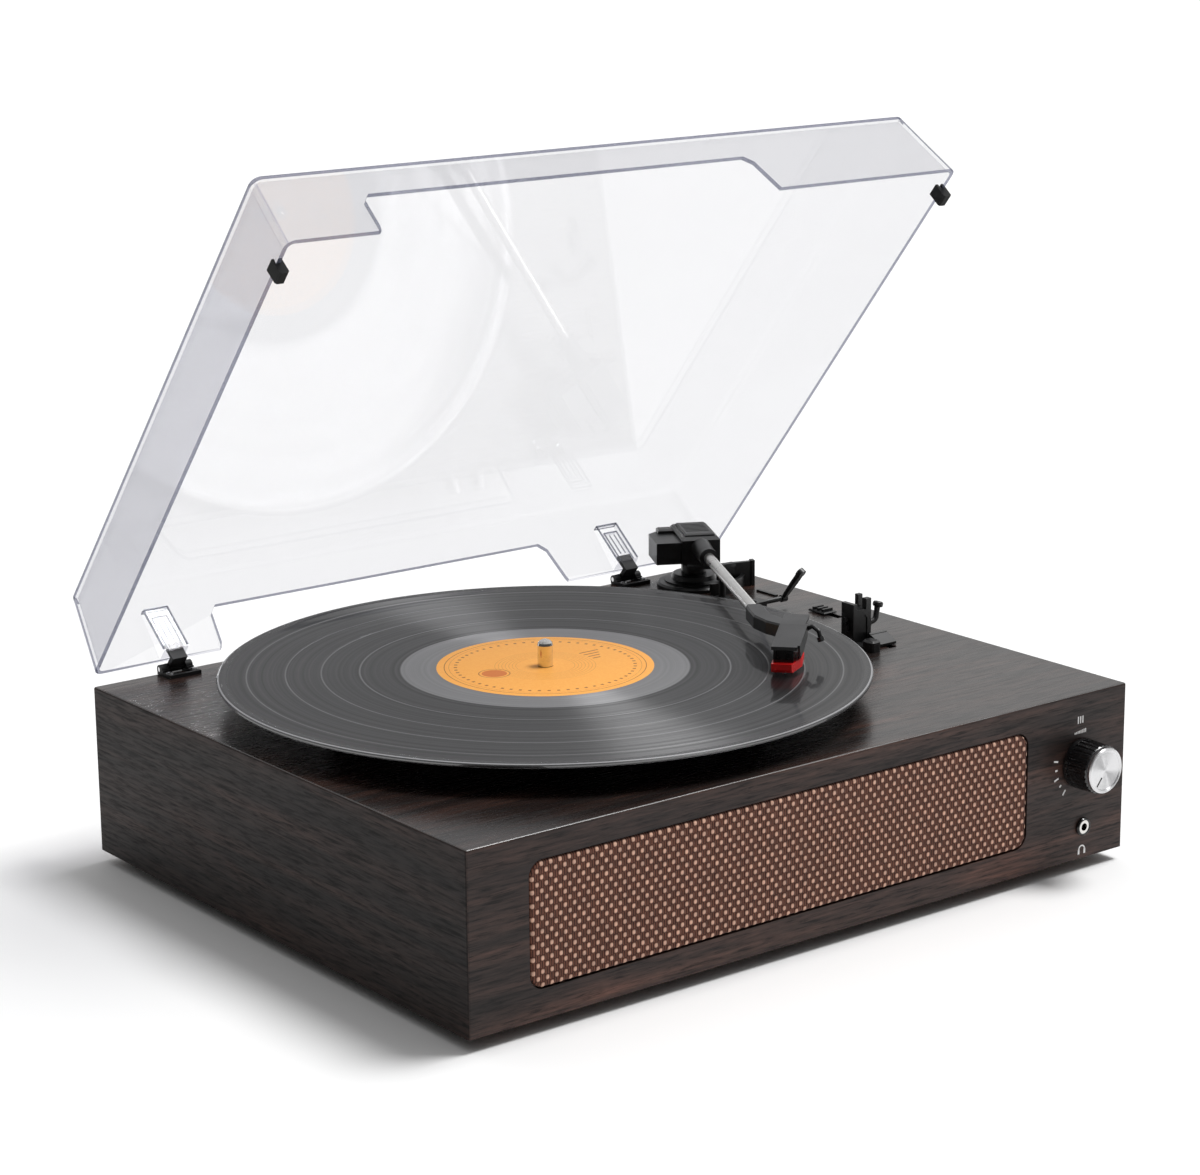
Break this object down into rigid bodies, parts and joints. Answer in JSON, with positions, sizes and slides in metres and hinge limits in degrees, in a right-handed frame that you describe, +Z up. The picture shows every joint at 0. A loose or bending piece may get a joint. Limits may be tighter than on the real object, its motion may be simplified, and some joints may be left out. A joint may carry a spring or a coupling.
{
  "type": "turntable record player",
  "caption": "Wood-cased record player with fabric speaker grille, belt-driven platter, offset tonearm with cueing, and a hinged clear cover.",
  "frame": {"origin": "centre of the bounding box on the floor plane, cover open", "axes": "+Z up, front with the grille and knob towards -Y, +X to the right seen from the front"},
  "size_m": [0.3768, 0.3442, 0.3364],
  "materials": {
    "wood_veneer": "satin",
    "fibreboard": "matte",
    "grille_fabric": "woven",
    "black_rubber": "matte",
    "felt": "matte",
    "black_plastic": "satin",
    "red_plastic": "satin",
    "spun_aluminium": "spun",
    "silver_tube": "satin",
    "steel": "satin",
    "nickel": "polished",
    "brass": "turned",
    "vinyl": "grooved",
    "label_paper": "matte",
    "clear_acrylic": "clear",
    "board_green": "matte",
    "cone_paper": "matte",
    "dark_steel": "satin"
  },
  "bodies": {
    "cabinet": {"deck_panel": "wood_veneer", "front_panel": "wood_veneer", "left_panel": "wood_veneer", "right_panel": "wood_veneer", "rear_panel": "wood_veneer", "base_panel": "fibreboard", "corner_blocks": "fibreboard", "rubber_feet": "black_rubber", "foot_screws": "steel", "grille_cloth": "grille_fabric", "grille_board": "fibreboard", "baffle_board": "fibreboard", "speaker_baskets": "dark_steel", "speaker_cones": "cone_paper", "speaker_magnets": "dark_steel", "speaker_screws": "steel", "circuit_board": "board_green", "pcb_standoffs": "black_plastic", "terminal_plate": "black_plastic", "rca_jacks": "nickel", "dc_inlet": "black_plastic", "headphone_jack": "nickel", "jack_nut": "black_plastic", "volume_pot": "black_plastic", "pot_nut": "steel", "motor": "dark_steel", "drive_belt": "black_rubber", "bearing_housing": "black_plastic", "bearing_bush": "brass", "tonearm_base": "black_plastic", "cue_bracket": "black_plastic", "arm_rest": "black_plastic", "hinge_bases": "black_plastic", "hinge_pins": "steel", "hinge_screws": "steel"},
    "volume_knob": {"pot_shaft": "steel", "knob_skirt": "black_plastic", "knob_cap": "spun_aluminium"},
    "platter_set": {"platter": "black_plastic", "slip_mat": "felt", "record": "vinyl", "record_label": "label_paper", "spindle": "steel"},
    "pulley": {"motor_pulley": "brass"},
    "arm_yaw": {"arm_post": "black_plastic", "arm_pivot_pin": "steel"},
    "arm_pitch": {"arm_housing": "black_plastic", "arm_tube": "silver_tube", "arm_adapter": "black_plastic", "headshell": "black_plastic", "cartridge": "black_plastic", "stylus": "red_plastic"},
    "cue_lift": {"cue_lift": "black_plastic"},
    "cue_lever": {"cue_lever": "black_plastic"},
    "arm_lock": {"arm_lock": "black_plastic"},
    "speed_selector": {"speed_selector": "black_plastic"},
    "auto_stop_key": {"auto_stop_key": "black_plastic"},
    "cover": {"dust_cover": "clear_acrylic", "cover_bumpers": "black_rubber", "hinge_tongues": "black_plastic"}
  },
  "joints": [
    {"name": "cover_hinge", "type": "hinge", "parent": "cabinet", "child": "cover", "pos_m": [0, 0.14303, 0.0885], "axis": [1, 0, 0], "range_deg": [0, 50.7]},
    {"name": "platter_spin", "type": "hinge", "parent": "cabinet", "child": "platter_set", "pos_m": [-0.0335, -0.00147, 0.092], "axis": [0, 0, 1], "continuous": true},
    {"name": "pulley_spin", "type": "hinge", "parent": "cabinet", "child": "pulley", "pos_m": [-0.0935, 0.05733, 0.09], "axis": [0, 0, 1], "continuous": true},
    {"name": "arm_swing", "type": "hinge", "parent": "cabinet", "child": "arm_yaw", "pos_m": [0.15, 0.11453, 0.096], "axis": [0, 0, 1], "range_deg": [-13.5, 23.05]},
    {"name": "arm_raise", "type": "hinge", "parent": "arm_yaw", "child": "arm_pitch", "pos_m": [0.15, 0.11453, 0.107], "axis": [-0.8821, 0.471, 0], "range_deg": [0, 3]},
    {"name": "cue_lever_turn", "type": "hinge", "parent": "cabinet", "child": "cue_lever", "pos_m": [0.15, 0.05073, 0.0905], "axis": [-1, 0, 0], "range_deg": [0, 50.5]},
    {"name": "cue_lift_slide", "type": "slide", "parent": "cabinet", "child": "cue_lift", "axis": [0, 0, 1], "range_m": [0, 0.0018]},
    {"name": "volume_turn", "type": "hinge", "parent": "cabinet", "child": "volume_knob", "pos_m": [0.1583, -0.15547, 0.0531], "axis": [0, 1, 0], "range_deg": [0, 290]},
    {"name": "speed_slide", "type": "slide", "parent": "cabinet", "child": "speed_selector", "axis": [0, -1, 0], "range_m": [0, 0.01]},
    {"name": "auto_stop_slide", "type": "slide", "parent": "cabinet", "child": "auto_stop_key", "axis": [0, -1, 0], "range_m": [0, 0.004]},
    {"name": "arm_lock_turn", "type": "hinge", "parent": "cabinet", "child": "arm_lock", "pos_m": [0.14, -0.02407, 0.0948], "axis": [1, 0, 0], "range_deg": [0, 60]}
  ],
  "couplings": [
    {"joint": "pulley_spin", "follows": "platter_spin", "ratio": 9.077},
    {"joint": "cue_lever_turn", "follows": "arm_raise", "ratio": 16.667},
    {"joint": "cue_lift_slide", "follows": "arm_raise", "m_per_rad": 0.033}
  ]
}
